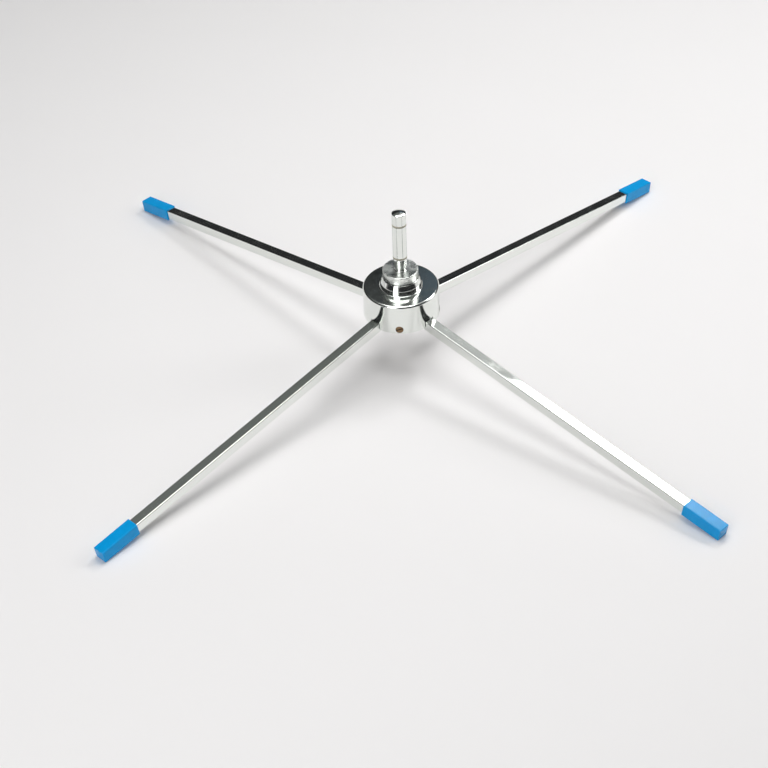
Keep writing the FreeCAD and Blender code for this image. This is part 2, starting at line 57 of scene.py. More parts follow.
# How each hub screw's driver slot happens to stand, in degrees, in the same order
SLOT_TURNS = (20.0, 65.0, 110.0, 145.0)
LATHE_STEPS = 192           # facets round a turned piece
RING_STEPS = 128            # facets round a rubber ring
RING_SECTION_STEPS = 20     # facets round a ring's section
SCREW_STEPS = 64            # facets round a screw and its hole
BORE_STEPS = 48             # facets round a hinge bore
CROWN_STEPS = 12            # facets from the dome's edge to its middle
FLOOR_STEPS = 128           # facets round the floor's edge
SMOOTH_ANGLE = math.radians(32)     # edges flatter than this are shaded smooth

# In metres
TINY = 1e-5                 # points closer than this count as one
SEAT_FIT = 0.00003          # room round the upper bearing
BOSS_WALL = 0.008           # wall of the boss round that bearing
CUTTER_REACH = 0.01         # how far a cutter reaches past the skirt
SCREW_END_BEVEL = 0.0007    # bevel at the end of a screw's shank
SCREW_FACE_ROUND = 0.0002   # round at the edge of a screw's face
GROOVE_FIT = 0.00002        # room under a ring in its groove
FLASH_LINE = 0.00004        # depth of the flash line round a ring

# Soft lights: name, direction in degrees from the Y axis, height in degrees, distance and size
# in metres, and brightness, where 1 is white
LIGHTS = (
    ("overhead softbox", -10, 84, 2.6, (1.5, 1.7), 3.75),
    ("right rear wall", 20, 50, 3.3, (0.9, 1.0), 0.34),
    ("right rear softbox", 40, 52, 3.2, (1.1, 1.2), 1.3),
    ("right rear lamp", 36, 51, 3.1, (0.6, 0.6), 13.5),
    ("left front window", -151, 35, 3.2, (1.25, 3.0), 3.6),
    ("right side window", 80, 32, 3.2, (1.0, 1.5), 5.0),
)

# What the frame gives: the hub's and the spindle's outer sizes and the bearings' levels
hub_low, hub_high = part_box("hub_shell")
spindle_low, spindle_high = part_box("spindle")
lower_bearing_low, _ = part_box("lower_bearing_inner")
_, upper_bearing_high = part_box("upper_bearing_outer")
pin_low, pin_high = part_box("hinge_pin_rear_right")
pivot = (pin_low + pin_high) / 2
pivot_radius = math.hypot(pivot.x, pivot.y)


def linear(hex_colour):
    """An sRGB hex colour as linear red, green and blue."""
    channels = [int(hex_colour[start:start + 2], 16) / 255 for start in (1, 3, 5)]
    return tuple(c / 12.92 if c <= 0.04045 else ((c + 0.055) / 1.055) ** 2.4 for c in channels)


def opaque(colour):
    return (*colour[:3], 1.0)


def length(name, description, default):
    return FloatProperty(name=name, description=description, default=default, unit="LENGTH")


def colour(name, description, hex_colour):
    return FloatVectorProperty(
        name=name, description=description, default=linear(hex_colour), subtype="COLOR",
        size=3, min=0.0, max=1.0)


class HubSizes(PropertyGroup):
    wall: length("Skirt wall", "Thickness of the skirt", 0.0035)
    top_wall: length("Top wall", "Thickness of the flat top", 0.0035)
    top_round: length("Top edge", "Rounding of the skirt's top edge", 0.0032)
    foot_round: length("Foot edge", "Rounding of the skirt's foot", 0.0006)
    boss_foot_round: length("Boss foot", "Hollow round where the boss stands on the top", 0.0015)
    stage_taper: length("Stage taper", "Taper of the boss's lower stage", 0.0008)
    stage_height: length("Stage height", "Rise of that stage above the flat top", 0.0075)
    cone_width: length("Cone width", "Width of the cone that closes the boss", 0.0033)
    cone_height: length("Cone height", "Rise of that cone", 0.0071)
    top_fall: length("Top fall", "Fall of the polished flat top towards its edge", 0.0003)
    lip: length("Lip", "Thickness of the boss over its bearing", 0.0025)
    lip_radius: length("Lip radius", "Radius of the hole in the lip", 0.0119)
    rim_round: length("Rim edge", "Rounding of the boss's edges", 0.0005)
    slot_width: length("Slot width", "Width of the slot that a leg comes through", 0.0168)
    slot_corner: length("Slot corner", "Rounding of a slot's top corners", 0.0015)
    slot_gap: length("Slot gap", "Room over a leg in its slot", 0.001)


class ScrewSizes(PropertyGroup):
    head: length("Head", "Diameter of a countersunk head", 0.011)
    shank: length("Shank", "Diameter of the shank", 0.006)
    hold: length("Hold", "Length in the carrier", 0.008)
    turn: FloatProperty(
        name="Turn", description="How far a screw stands off the middle between two legs",
        default=math.radians(-4.5), subtype="ANGLE")
    sunk: length("Sunk", "Depth of the head below the skirt", 0.0005)
    rim: length("Rim", "Straight edge of the head", 0.00035)
    fit: length("Fit", "Room round the head", 0.00012)
    slot_width: length("Driver slot", "Width of the driver slot", 0.00176)
    slot_depth: length("Driver slot depth", "Depth of the driver slot", 0.00185)


class LegSizes(PropertyGroup):
    length: length("Length", "Hub's axis to the cap's end, along the leg", 0.572)
    slope: FloatProperty(
        name="Slope", description="Fall of a leg from the hub to its foot",
        default=math.radians(8.25), subtype="ANGLE")
    side: length("Side", "Side of the square tube", 0.015)
    wall: length("Wall", "Wall of the tube", 0.0012)
    corner: length("Corner", "Rounding along the tube", 0.0015)
    tail: length("Tail", "Hinge to the tube's inner end", 0.014)
    bore: length("Hinge bore", "Diameter of the hinge's bore", 0.00516)


class CapSizes(PropertyGroup):
    length: length("Length", "Length of a foot cap", 0.06)
    wall: length("Wall", "Wall of the sleeve", 0.0017)
    end: length("End", "Thickness of the closed end", 0.003)
    fit: length("Fit", "Room round the tube", 0.0001)
    corner: length("Corner", "Rounding along the cap", 0.0018)
    end_round: length("End rounding", "Rounding round the closed end", 0.0012)
    lip: length("Lip", "Rounding round the mouth", 0.0004)


class SpindleSizes(PropertyGroup):
    thread: length("Thread", "Outer diameter of the thread", 0.012)
    pitch: length("Pitch", "Pitch of the thread", 0.00175)
    journal: length("Journal", "Diameter in the bearings", 0.01694)
    collar: length("Collar", "Diameter of the shoulder on the upper bearing", 0.0222)
    disc_gap: length("Disc gap", "Room between the boss and the disc", 0.0011)
    disc_height: length("Disc height", "Thickness of the disc", 0.0119)
    disc_top_round: length("Disc top edge", "Rounding of the disc's top edge", 0.0014)
    disc_foot_round: length("Disc foot edge", "Rounding of the disc's foot edge", 0.0008)
    neck_height: length("Neck height", "Height of the tapered neck", 0.019)
    waist: length("Waist", "Smallest diameter of the neck", 0.0152)
    waist_fillet: length("Waist fillet", "Fillet where the neck leaves the disc", 0.002)
    shaft: length("Shaft", "Diameter of the straight shaft", 0.02)
    crown_radius: length("Crown", "Radius of the domed top", 0.028)
    shaft_round: length("Top edge", "Rounding between the dome and the shaft's side", 0.0009)
    groove_room: length("Groove room", "Room beside a ring in its groove", 0.00025)
    ring_proud: length("Ring proud", "How far a ring stands out of the shaft", 0.0001)


class Finishes(PropertyGroup):
    chrome: colour("Chrome", "Bright chrome plate", "#E9ECE8")
    cap_blue: colour("Cap blue", "Blue moulded plastic of the foot caps", "#009ADE")
    rubber: colour("Rubber", "Rubber of the shaft's rings", "#BDB8A6")
    passivate: colour("Passivate", "Yellow passivated zinc on the screws", "#8A7258")
    # painted shade: the dark colour that the screws' driver slots take, standing in for the shade
    # that falls in the recess
    grime: colour("Grime", "Dark colour painted into the driver slots as shade", "#33261C")
    cast_alloy: colour("Cast alloy", "Die-cast alloy of the leg carrier", "#A8A9A6")
    steel: colour("Plain steel", "Plain steel of plate, washer, nut, pins and sleeves", "#B9B6B0")
    bearing_steel: colour("Bearing steel", "Ground steel of the bearings", "#CFCFCB")
    floor: colour("Floor", "Pale floor", "#F3F1F1")
    room: colour("Room", "Dim room above the backdrop", "#2B2C2D")
    ceiling: colour("Ceiling", "Upper part of that room", "#6E716F")
    far_wall: colour("Far wall", "Cool patch of wall low behind the base", "#5A6873")


class StageSizes(PropertyGroup):
    view_height: FloatProperty(
        name="View height", description="Camera's elevation above the level of the hinges",
        default=math.radians(39.559), subtype="ANGLE")
    view_turn: FloatProperty(
        name="View turn", description="Camera's turn round the hub, away from the front",
        default=math.radians(0.405), subtype="ANGLE")
    view_roll: FloatProperty(
        name="View roll", description="Camera's turn about its own line of sight",
        default=math.radians(-2.331), subtype="ANGLE")
    view_distance: length("View distance", "Camera to the point that it looks at", 2.58)
    view_aim: FloatVectorProperty(
        name="View aim", description="Point that the camera looks at",
        default=(-0.02818, -0.16863, 0.08533), subtype="TRANSLATION", unit="LENGTH")
    lens: FloatProperty(
        name="Lens", description="Focal length in millimetres on a 36 mm frame", default=89.54)
    floor_radius: length("Floor radius", "Radius of the floor", 5.0)


def add(operator, name, **settings):
    """Add a primitive with nothing else selected, named for the piece that it starts."""
    bpy.ops.object.select_all(action="DESELECT")
    operator(**settings)
    bpy.ops.object.transform_apply(location=True, rotation=True, scale=True)
    piece = bpy.context.object
    piece.name = name
    piece.data.name = name
    return piece


def edit(piece):
    """Open one piece in edit mode."""
    only(piece)
    bpy.ops.object.mode_set(mode="EDIT")


def done():
    bpy.ops.object.mode_set(mode="OBJECT")


def only(piece):
    """Select one piece and make it active."""
    bpy.ops.object.select_all(action="DESELECT")
    piece.select_set(True)
    bpy.context.view_layer.objects.active = piece


def select(piece, kind, test):
    """In edit mode, select the verts, edges or faces that pass a test, and nothing else."""
    bpy.ops.mesh.select_mode(type={"verts": "VERT", "edges": "EDGE", "faces": "FACE"}[kind])
    bpy.ops.mesh.select_all(action="DESELECT")
    mesh = bmesh.from_edit_mesh(piece.data)
    for element in getattr(mesh, kind):
        if test(element):
            element.select_set(True)
    mesh.select_flush_mode()
    bmesh.update_edit_mesh(piece.data)


def span(edge):
    """How far an edge reaches along X."""
    return abs(edge.verts[0].co.x - edge.verts[1].co.x)


def spin_round(steps):
    """In edit mode, spin all there is round the Z axis and close it."""
    bpy.ops.mesh.select_all(action="SELECT")
    bpy.ops.mesh.spin(steps=steps, angle=2 * math.pi, center=(0, 0, 0), axis=(0, 0, 1))
    bpy.ops.mesh.select_all(action="SELECT")
    bpy.ops.mesh.remove_doubles(threshold=TINY / 10)
    bpy.ops.mesh.normals_make_consistent(inside=False)
    done()


def lathe(name, corners, rounds=(), steps=LATHE_STEPS):
    """A turned piece: an outline of (radius, z) corners, rounded and spun round the Z axis.

    rounds holds (corner, rounding, facets). An outline that starts on the axis ends there too;
    any other is closed into a ring.
    """
    points = [Vector((radius, 0.0, z)) for radius, z in corners]
    piece = add(bpy.ops.mesh.primitive_plane_add, name, size=1.0)
    edit(piece)
    bpy.ops.mesh.select_mode(type="VERT")
    bpy.ops.mesh.select_all(action="SELECT")
    bpy.ops.mesh.merge(type="CENTER")
    bpy.ops.transform.translate(value=points[0])
    for last, point in zip(points, points[1:]):
        bpy.ops.mesh.extrude_verts_indiv()
        bpy.ops.transform.translate(value=point - last)
    if corners[0][0] > 0:
        ends = {0, len(points) - 1}
        select(piece, "verts", lambda vert: vert.index in ends)
        bpy.ops.mesh.edge_face_add()
    for corner, rounding, facets in rounds:
        place = Vector((corner[0], 0.0, corner[1]))
        select(piece, "verts", lambda vert: (vert.co - place).length < TINY)
        bpy.ops.mesh.bevel(offset=rounding, segments=facets, affect="VERTICES")
    spin_round(steps)
    return piece


def block(name, low, high):
    """A box between two corners, to be cut and rounded in edit mode."""
    low, high = Vector(low), Vector(high)
    return add(
        bpy.ops.mesh.primitive_cube_add, name, size=1.0,
        location=(low + high) / 2, scale=high - low)


def apply(piece, kind, **settings):
    """Add a modifier and apply it at once."""
    only(piece)
    modifier = piece.modifiers.new(kind.lower(), kind)
    for name, value in settings.items():
        setattr(modifier, name, value)
    # what the modifier reads, such as a cutter placed just before, is brought up to date
    bpy.context.view_layer.update()
    bpy.ops.object.modifier_apply(modifier=modifier.name)


def cut(piece, cutter):
    """Cut one piece with another, which is then thrown away."""
    apply(piece, "BOOLEAN", object=cutter, operation="DIFFERENCE", solver="EXACT")
    bpy.data.meshes.remove(cutter.data)


def copy_of(piece, name):
    """A copy with its own mesh, left selected and active."""
    only(piece)
    bpy.ops.object.duplicate(linked=False)
    made = bpy.context.object
    made.name = name
    made.data.name = name
    return made


def put(piece, placement):
    """Place a piece, and move the place into its mesh."""
    only(piece)
    piece.matrix_world = placement
    bpy.ops.object.transform_apply(location=True, rotation=True, scale=True)


def turned_by(degrees):
    return Matrix.Rotation(math.radians(degrees), 4, "Z")


def towards(turn, height):
    """A direction from its turn round the hub, off the Y axis, and its height, in degrees."""
    turn, height = math.radians(turn), math.radians(height)
    return Vector((
        math.sin(turn) * math.cos(height), math.cos(turn) * math.cos(height), math.sin(height)))


def on_leg(sizes, degrees):
    """Placement of a leg that was made along X, with its axis on the hub's."""
    rise = Matrix.Translation((0, 0, pivot.z + pivot_radius * math.tan(sizes.slope)))
    return turned_by(degrees) @ rise @ Matrix.Rotation(sizes.slope, 4, "Y")


def polish(piece):
    """Smooth the rounds, and keep the flats flat in what they reflect."""
    only(piece)
    bpy.ops.object.shade_smooth_by_angle(angle=SMOOTH_ANGLE)
    apply(piece, "WEIGHTED_NORMAL", weight=90, keep_sharp=True)


def dress(piece, finish, slot, body, *nodes):
    """Give a finished piece its material and body, and hide the nodes that it stands for. The slot
    argument is not used.
    """
    piece.data.materials.clear()
    piece.data.materials.append(finish)
    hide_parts(*nodes)
    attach(piece, body)


def repaint(piece, finish, test):
    """Give the faces that pass a test a second material."""
    piece.data.materials.append(finish)
    edit(piece)
    select(piece, "faces", test)
    piece.active_material_index = 1
    bpy.ops.object.material_slot_assign()
    done()


def new_material(name):
    """A named material: itself, its nodes, its Principled shader and the place on a piece."""
    material = bpy.data.materials.new(name)
    material.use_nodes = True
    tree = material.node_tree
    place = add_node(tree, "ShaderNodeTexCoord").outputs["Object"]
    return material, tree, tree.nodes["Principled BSDF"], place


def plug(tree, node, inputs):
    """Set a node's inputs, each to a value or to the socket that feeds it."""
    for name, value in inputs.items():
        if isinstance(value, bpy.types.NodeSocket):
            tree.links.new(value, node.inputs[name])
        else:
            node.inputs[name].default_value = value


def add_node(tree, kind, settings=None, inputs=None):
    """Add a node with its settings and its inputs."""
    made = tree.nodes.new(kind)
    for name, value in (settings or {}).items():
        setattr(made, name, value)
    plug(tree, made, inputs or {})
    return made


def noise(tree, place, millimetres, detail, **more):
    """Noise whose marks are about so many millimetres across."""
    return add_node(tree, "ShaderNodeTexNoise", inputs={
        "Vector": place, "Scale": 1000.0 / millimetres, "Detail": detail, **more,
    }).outputs["Fac"]


def relief(tree, height, distance, strength):
    """The normal of a surface with a fine relief, its depth in metres."""
    return add_node(tree, "ShaderNodeBump", inputs={
        "Height": height, "Distance": distance, "Strength": strength,
    }).outputs["Normal"]


def spread(tree, value, low, high):
    """Stretch a noise's middle part, where most of it lies, to run from low to high."""
    return add_node(tree, "ShaderNodeMapRange", inputs={
        "Value": value, "From Min": 0.3, "From Max": 0.7, "To Min": low, "To Max": high,
    }).outputs["Result"]


def ramp(tree, value, start, end, low=0.0, high=1.0):
    """A soft step from low to high, where a value runs from start to end."""
    return add_node(tree, "ShaderNodeMapRange", {"interpolation_type": "SMOOTHSTEP"}, {
        "Value": value, "From Min": start, "From Max": end, "To Min": low, "To Max": high,
    }).outputs["Result"]


def mix(tree, factor, first, second):
    """A mix of two colours, each a value or a socket."""
    first_input, second_input, colour_output = 6, 7, 2
    return add_node(tree, "ShaderNodeMix", {"data_type": "RGBA"}, {
        "Factor": factor, first_input: first, second_input: second,
    }).outputs[colour_output]


def tones(tree, value, tint, low, high):
    """A colour that runs from low to high times its own strength as a noise does."""
    darker = [low * channel for channel in tint]
    lighter = [min(1.0, high * channel) for channel in tint]
    return mix(tree, spread(tree, value, 0.0, 1.0), opaque(darker), opaque(lighter))


def chrome_plate(name, colours, haze, placement=None, stretch=(1.0, 1.0, 1.0)):
    """Bright chrome over polished steel.

    It mirrors the room with little loss. Polishing leaves the steel faintly wavy, which bends
    long reflections, and handling leaves hazy smears, from the least to the most haze. Stretch
    draws both out along a piece.
    """
    material, tree, shader, place = new_material(name)
    if placement is not None:
        place = add_node(tree, "ShaderNodeMapping", {"vector_type": "TEXTURE"}, {
            "Vector": place, "Location": placement.to_translation(),
            "Rotation": placement.to_euler(),
        }).outputs["Vector"]
    place = add_node(tree, "ShaderNodeMapping", inputs={
        "Vector": place, "Scale": stretch,
    }).outputs["Vector"]
    smears = noise(tree, place, 9.0, 6.0, Roughness=0.7, Distortion=0.6)
    waves = noise(tree, place, 14.0, 2.0, Roughness=0.4)
    plug(tree, shader, {
        "Base Color": opaque(colours.chrome), "Metallic": 1.0,
        "Roughness": spread(tree, smears, *haze), "Normal": relief(tree, waves, 0.00012, 0.6),
    })
    return material


def turned_chrome(name, colours):
    """Chrome over steel left as the lathe turned it.

    The tool's fine rings run round the axis. They spread each reflection across them, so a face
    shows wedges of light from its middle to its rim.
    """
    material, tree, shader, place = new_material(name)
    wear = noise(tree, place, 8.0, 4.0, Roughness=0.6)
    rings = add_node(tree, "ShaderNodeTangent", {"direction_type": "RADIAL", "axis": "Z"})
    plug(tree, shader, {
        "Base Color": opaque(colours.chrome), "Metallic": 1.0,
        "Roughness": spread(tree, wear, 0.22, 0.36), "Anisotropic": 0.6,
        "Tangent": rings.outputs["Tangent"],
    })
    return material


def bare_metal(name, tint, smooth, rough, mark, depth):
    """A metal's own surface, from its smoothest to its roughest, with marks of a size in mm.

    Turned, rolled and ground steel and the cast alloy differ in these values alone.
    """
    material, tree, shader, place = new_material(name)
    marks = noise(tree, place, mark, 5.0, Roughness=0.6)
    plug(tree, shader, {
        "Base Color": tones(tree, marks, tint, 0.82, 1.08), "Metallic": 1.0,
        "Roughness": spread(tree, marks, smooth, rough),
        "Normal": relief(tree, marks, depth, 0.6),
    })
    return material


def moulded_plastic(name, colours):
    """Blue soft plastic, injection moulded in a lightly sparked mould.

    The fine mould texture spreads the highlights into a soft sheen, and use has rubbed some
    places smoother than others.
    """
    material, tree, shader, place = new_material(name)
    grain = noise(tree, place, 0.9, 3.0)
    rubbed = noise(tree, place, 12.0, 4.0, Roughness=0.6)
    plug(tree, shader, {
        "Base Color": tones(tree, rubbed, colours.cap_blue, 0.94, 1.05),
        "Roughness": spread(tree, rubbed, 0.16, 0.26),
        "Normal": relief(tree, grain, 0.00008, 0.5),
        "IOR": 1.5, "Specular IOR Level": 0.22,
    })
    return material


def rubber(name, colours):
    """Nitrile rubber, moulded: dull, with a faint dusty bloom."""
    material, tree, shader, place = new_material(name)
    bloom = noise(tree, place, 3.0, 4.0)
    plug(tree, shader, {
        "Base Color": tones(tree, bloom, colours.rubber, 0.8, 1.25), "Roughness": 0.6,
        "IOR": 1.52,
    })
    return material


def grime(name, colours):
    """Painted shade: a dark, dull colour laid into a recess where shade falls, with a random
    mottle.
    """
    material, tree, shader, place = new_material(name)
    shade_mottle = noise(tree, place, 0.7, 3.0)
    plug(tree, shader, {
        "Base Color": tones(tree, shade_mottle, colours.grime, 0.7, 1.3), "Roughness": 0.8,
    })
    return material


class CROSSBASE_OT_hub_shell(Operator):
    """Turn the chromed shell, and cut its four slots and its four screw holes"""
    bl_idname = "cross_base.hub_shell"
    bl_label = "Hub shell"

    def execute(self, context):
        sizes = context.scene.cross_base_hub
        screw = context.scene.cross_base_screw
        legs = context.scene.cross_base_legs
        piece = lathe("hub_shell_plate", *self.outline(sizes))
        for degrees in LEG_ANGLES.values():
            cut(piece, self.slot_cutter(sizes, legs, degrees))
            cut(piece, self.screw_cutter(screw, degrees))
        polish(piece)
        finish = chrome_plate(
            "Bright chrome, turned shell", context.scene.cross_base_finishes, (0.03, 0.2))
        dress(piece, finish, "chrome_plate", "hub", "hub_shell")
        return {"FINISHED"}

    def outline(self, sizes):
        """Corners of the shell's section, and the roundings of some of them."""
        radius, foot, top = hub_high.x, hub_low.z, hub_high.z
        inside = radius - sizes.wall
        seat = upper_bearing_high.x + SEAT_FIT
        rim = seat + BOSS_WALL
        edge = rim + sizes.cone_width
        stage_foot = edge + sizes.stage_taper
        plate = top - sizes.cone_height - sizes.stage_height
        ceiling = plate - sizes.top_wall
        skirt_foot, skirt_top = (radius, foot), (radius, plate - sizes.top_fall)
        boss_foot, boss_edge = (stage_foot, plate), (edge, plate + sizes.stage_height)
        boss_rim, lip_rim = (rim, top), (sizes.lip_radius, top)
        corners = [
            (inside, foot), skirt_foot, skirt_top, boss_foot, boss_edge, boss_rim, lip_rim,
            (sizes.lip_radius, top - sizes.lip), (seat, top - sizes.lip), (seat, ceiling),
            (inside, ceiling),
        ]
        # the boss's foot takes a bevel a tenth wider than its round
        rounds = [
            (skirt_foot, sizes.foot_round, 3), (skirt_top, sizes.top_round, 10),
            (boss_foot, 1.1 * sizes.boss_foot_round, 8), (boss_edge, sizes.rim_round, 3),
            (boss_rim, sizes.rim_round, 4), (lip_rim, sizes.rim_round / 2, 2),
        ]
        return corners, rounds

    def slot_cutter(self, sizes, legs, degrees):
        """A bar through the skirt, open below, with its two top edges rounded."""
        inside = hub_high.x - sizes.wall
        axis_z = pivot.z + (pivot_radius - inside) * math.tan(legs.slope)
        top = axis_z + legs.side / 2 / math.cos(legs.slope) + sizes.slot_gap
        half = sizes.slot_width / 2
        cutter = block(
            "slot_cutter", (pivot_radius + legs.side / 2, -half, hub_low.z - CUTTER_REACH),
            (hub_high.x + CUTTER_REACH, half, top))
        edit(cutter)
        select(cutter, "edges", lambda edge: span(edge) > TINY and all(
            vert.co.z > top - TINY for vert in edge.verts))
        bpy.ops.mesh.bevel(offset=sizes.slot_corner, segments=5)
        done()
        put(cutter, turned_by(degrees))
        return cutter

    def screw_cutter(self, screw, degrees):
        """The countersunk hole, turned about Z and laid on its side."""
        wide = screw.head / 2 + screw.fit
        narrow = screw.shank / 2 + screw.fit / 2
        depth = -screw.rim - screw.fit / 2
        cutter = lathe("screw_cutter", [
            (0, screw.head / 2), (wide, screw.head / 2), (wide, depth),
            (narrow, depth - (wide - narrow)), (narrow, -screw.head), (0, -screw.head),
        ], steps=SCREW_STEPS)
        put(cutter, to_skirt(screw, degrees))
        return cutter


def to_skirt(screw, degrees):
    """Placement of a screw made along Z: facing out of the skirt, about halfway to the next leg."""
    screws_low, screws_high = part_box("hub_screws")
    level = (screws_low.z + screws_high.z) / 2
    out = Matrix.Translation((hub_high.x - screw.sunk, 0, level))
    turn = turned_by(degrees + 45.0 + math.degrees(screw.turn))
    return turn @ out @ Matrix.Rotation(math.radians(90), 4, "Y")


class CROSSBASE_OT_hub_screws(Operator):
    """Turn one slotted countersunk screw, and set four of them in the skirt"""
    bl_idname = "cross_base.hub_screws"
    bl_label = "Hub screws"

    def execute(self, context):
        screw = context.scene.cross_base_screw
        colours = context.scene.cross_base_finishes
        master = self.turn_screw(screw)
        in_slot = self.slot_faces(master, screw)
        finish = bare_metal("Yellow passivated zinc", colours.passivate, 0.28, 0.5, 1.5, 0.00004)
        # the driver slots get painted shade, a dark colour standing in for the shade in the recess
        slot_shade_finish = grime("Grime in a driver slot", colours)
        screws = []
        for number, degrees in enumerate(LEG_ANGLES.values(), start=1):
            piece = copy_of(master, "hub_screw_%d" % number)
            put(piece, to_skirt(screw, degrees) @ turned_by(SLOT_TURNS[number - 1]))
            screws.append(piece)
        bpy.data.meshes.remove(master.data)
        for piece in screws:
            dress(piece, finish, "zinc_screw", "hub", "hub_screws")
            # the faces inside the driver slot take the painted shade
            repaint(piece, slot_shade_finish, lambda face: face.index in in_slot)
        return {"FINISHED"}

    def turn_screw(self, screw):
        """One screw along Z, with its driver slot along X."""
        cone = (screw.head - screw.shank) / 2
        face_edge = (screw.head / 2, 0.0)
        end = -(screw.rim + cone + screw.hold)
        piece = lathe("hub_screw", [
            (0, 0), face_edge, (screw.head / 2, -screw.rim),
            (screw.shank / 2, -screw.rim - cone), (screw.shank / 2, end + SCREW_END_BEVEL),
            (screw.shank / 2 - SCREW_END_BEVEL, end), (0, end),
        ], [(face_edge, SCREW_FACE_ROUND, 2)], steps=SCREW_STEPS)
        half = screw.slot_width / 2
        cut(piece, block(
            "driver_slot", (-screw.head, -half, -screw.slot_depth), (screw.head, half, screw.head)))
        polish(piece)
        return piece

    def slot_faces(self, piece, screw):
        """Numbers of the faces inside the driver slot."""
        half, floor = screw.slot_width / 2, -screw.slot_depth
        points = [vert.co for vert in piece.data.vertices]
        return {face.index for face in piece.data.polygons if all(
            abs(points[vert].y) < half + TINY and points[vert].z > floor - TINY
            for vert in face.vertices)}


class CROSSBASE_OT_spindle(Operator):
    """Turn the spindle: thread, journal, collar, disc, neck, grooved shaft and domed top"""
    bl_idname = "cross_base.spindle"
    bl_label = "Spindle"

    def execute(self, context):
        piece = lathe("spindle_bar", *self.outline(context.scene.cross_base_spindle))
        polish(piece)
        finish = chrome_plate(
            "Bright chrome, turned spindle", context.scene.cross_base_finishes, (0.03, 0.14))
        dress(piece, finish, "chrome_plate", "spindle", "spindle")
        self.coarsen_disc(context, piece)
        return {"FINISHED"}

    def coarsen_disc(self, context, piece):
        """Give the disc's side and top their coarser finish."""
        sizes = context.scene.cross_base_spindle
        foot = hub_high.z + sizes.disc_gap
        inner = sizes.waist / 2 + sizes.waist_fillet
        finish = turned_chrome(
            "Chrome over turned steel, disc", context.scene.cross_base_finishes)
        repaint(piece, finish, lambda face: all(
            foot + TINY < vert.co.z < foot + sizes.disc_height + TINY
            and vert.co.xy.length > inner - TINY for vert in face.verts))

    def outline(self, sizes):
        """Corners from the thread's foot to the top of the dome, and their roundings."""
        thread, journal, collar = sizes.thread / 2, sizes.journal / 2, sizes.collar / 2
        waist, shaft, disc = sizes.waist / 2, sizes.shaft / 2, spindle_high.x
        thread_foot, top = spindle_low.z, spindle_high.z
        disc_foot = hub_high.z + sizes.disc_gap
        disc_top = disc_foot + sizes.disc_height
        shaft_foot = disc_top + sizes.neck_height
        disc_low, disc_high = (disc, disc_foot), (disc, disc_top)
        neck_foot = (waist, disc_top)
        corners = [(0, thread_foot), (thread - sizes.pitch / 2, thread_foot)]
        # at this size the rise of one turn doesn't show, so the thread's turns are plain rings
        turns = int((lower_bearing_low.z - thread_foot) / sizes.pitch)
        depth = 0.54 * sizes.pitch
        for turn in range(turns):
            z = thread_foot + (turn + 0.5) * sizes.pitch
            corners += [(thread, z), (thread, z + sizes.pitch / 8),
                        (thread - depth, z + 0.5 * sizes.pitch),
                        (thread - depth, z + 0.625 * sizes.pitch)]
        corners += [
            (thread - depth, lower_bearing_low.z), (journal, lower_bearing_low.z),
            (journal, upper_bearing_high.z), (collar, upper_bearing_high.z),
            (collar, disc_foot), disc_low, disc_high, neck_foot, (shaft, shaft_foot)]
        for name in ("lower_o_ring", "upper_o_ring"):
            low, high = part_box(name)
            section = high.z - low.z
            floor = shaft + sizes.ring_proud - section - GROOVE_FIT
            groove_low, groove_high = low.z - sizes.groove_room, high.z + sizes.groove_room
            corners += [
                (shaft, groove_low), (floor, groove_low), (floor, groove_high),
                (shaft, groove_high)]
        dome = sizes.crown_radius
        shaft_edge = (shaft, top - dome + math.sqrt(dome ** 2 - shaft ** 2))
        corners.append(shaft_edge)
        # the edge's round takes this much of the side and of the dome
        reach = sizes.shaft_round * math.tan((math.pi / 2 - math.asin(shaft / dome)) / 2)
        # and the dome's own facets start a little clear of that
        for step in range(CROWN_STEPS, -1, -1):
            radius = (shaft - 1.05 * reach) * step / CROWN_STEPS
            corners.append((radius, top - dome + math.sqrt(dome ** 2 - radius ** 2)))
        rounds = [
            (disc_low, sizes.disc_foot_round, 4), (disc_high, sizes.disc_top_round, 6),
            (neck_foot, sizes.waist_fillet, 6), (shaft_edge, reach, 6),
        ]
        return corners, rounds


class CROSSBASE_OT_rings(Operator):
    """Spin the two rubber rings in the shaft's grooves"""
    bl_idname = "cross_base.rings"
    bl_label = "Rubber rings"

    def execute(self, context):
        finish = rubber("Nitrile rubber", context.scene.cross_base_finishes)
        for node in ("lower_o_ring", "upper_o_ring"):
            low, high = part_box(node)
            radius = (high.z - low.z) / 2
            piece = add(
                bpy.ops.mesh.primitive_circle_add, node + "_rubber",
                vertices=RING_SECTION_STEPS, radius=radius,
                location=(high.x - radius, 0, (low.z + high.z) / 2), rotation=(math.pi / 2, 0, 0))
            edit(piece)
            # the mould's halves leave a fine flash line round the ring's middle
            select(piece, "verts", lambda vert: vert.co.x > high.x - TINY)
            bpy.ops.transform.translate(value=(-FLASH_LINE, 0, 0))
            spin_round(RING_STEPS)
            polish(piece)
            dress(piece, finish, "ring_rubber", "spindle", node)
        return {"FINISHED"}


